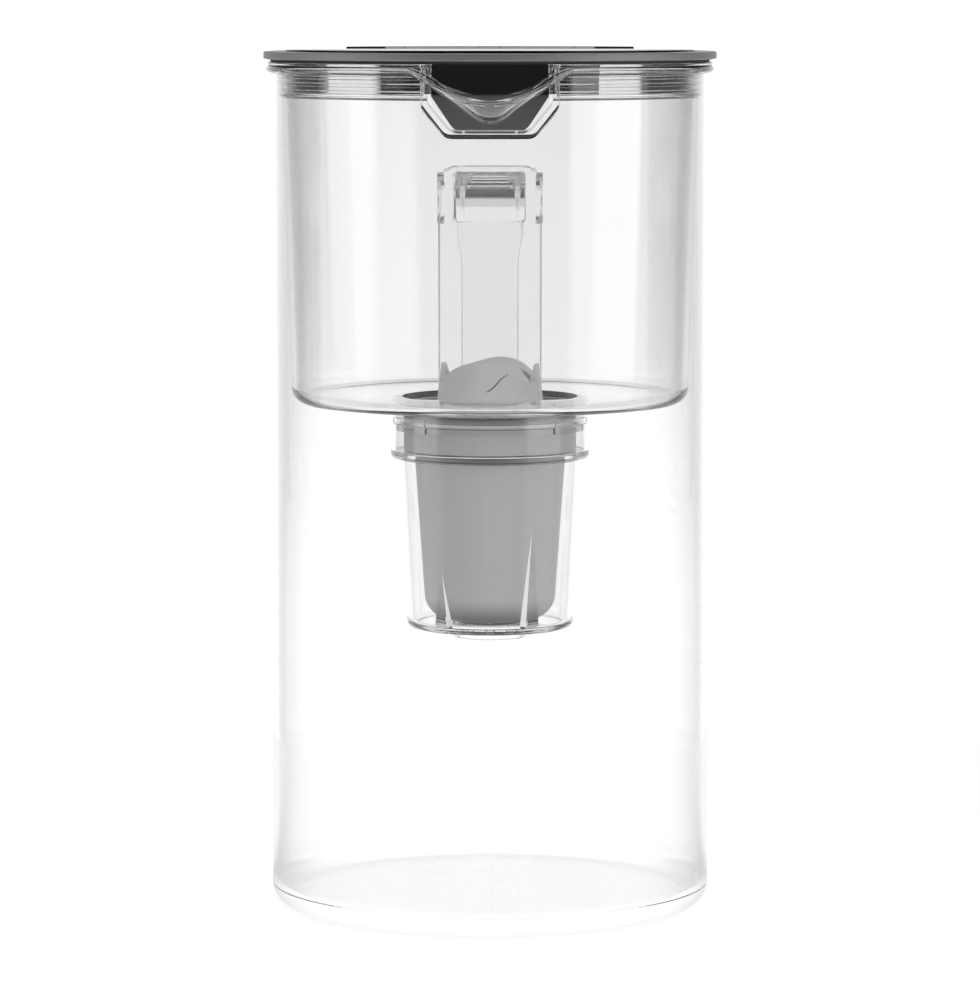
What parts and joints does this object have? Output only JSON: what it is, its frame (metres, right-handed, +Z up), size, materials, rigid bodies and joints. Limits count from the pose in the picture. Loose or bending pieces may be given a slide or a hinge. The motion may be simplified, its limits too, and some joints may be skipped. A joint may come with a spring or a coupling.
{
  "type": "water filter pitcher",
  "caption": "Clear round water filter pitcher with a hanging hopper, a twist-off filter cup with cartridge, a rear handle and a steel lid with a hinged flap.",
  "frame": {"origin": "middle of the jug's foot, on the jug's axis", "axes": "+Z up, -Y towards the spout, +Y towards the handle"},
  "size_m": [0.1354, 0.1947, 0.258],
  "materials": {
    "jug_glass": "clear glass",
    "handle_clear": "clear glass",
    "hopper_clear": "clear moulded plastic",
    "cup_clear": "clear moulded plastic",
    "clear_silicone": "clear silicone",
    "white_silicone": "pale silicone",
    "dark_rubber": "smooth",
    "steel_mesh": "fine mesh",
    "cartridge_grey": "smooth grey",
    "cap_grey": "smooth grey",
    "felt": "felt",
    "carbon": "granules",
    "resin": "beads",
    "lid_plastic": "fine moulded",
    "cover_gloss": "gloss",
    "polished_steel": "polished",
    "trim_steel": "polished dark steel",
    "flap_steel": "fine satin",
    "plain_steel": "plain"
  },
  "bodies": {
    "jug": {"jug": "jug_glass", "handle": "handle_clear"},
    "hopper": {"hopper": "hopper_clear", "hopper_seal": "clear_silicone"},
    "filter_cup": {"filter_cup": "cup_clear", "cup_seal": "white_silicone", "outlet_screen": "steel_mesh"},
    "cartridge": {"cartridge_shell": "cartridge_grey", "cartridge_cap": "cap_grey", "cartridge_seal": "dark_rubber", "top_felt": "felt", "carbon_bed": "carbon", "middle_felt": "felt", "resin_bed": "resin", "bottom_felt": "felt"},
    "lid": {"lid_frame": "lid_plastic", "lid_skirt": "polished_steel", "lid_gasket": "dark_rubber", "lid_trim_ring": "trim_steel", "rear_cover": "cover_gloss", "rear_cover_screws": "plain_steel", "hinge_pin": "plain_steel"},
    "flap": {"flap_plate": "flap_steel", "flap_liner": "lid_plastic", "flap_seal": "white_silicone"}
  },
  "joints": [
    {"name": "hopper_lift", "type": "slide", "parent": "jug", "child": "hopper", "axis": [0, 0, 1], "range_m": [0, 0.18]},
    {"name": "lid_lift", "type": "slide", "parent": "hopper", "child": "lid", "axis": [0, 0, 1], "range_m": [0, 0.06]},
    {"name": "flap_hinge", "type": "hinge", "parent": "lid", "child": "flap", "pos_m": [0, 0.038, 0.2556], "axis": [-1, 0, 0], "range_deg": [0, 100]},
    {"name": "cup_twist", "type": "hinge", "parent": "hopper", "child": "filter_cup", "pos_m": [0, 0, 0.14], "axis": [0, 0, 1], "range_deg": [0, 40]},
    {"name": "cartridge_lift", "type": "slide", "parent": "filter_cup", "child": "cartridge", "axis": [0, 0, 1], "range_m": [0, 0.07]}
  ]
}
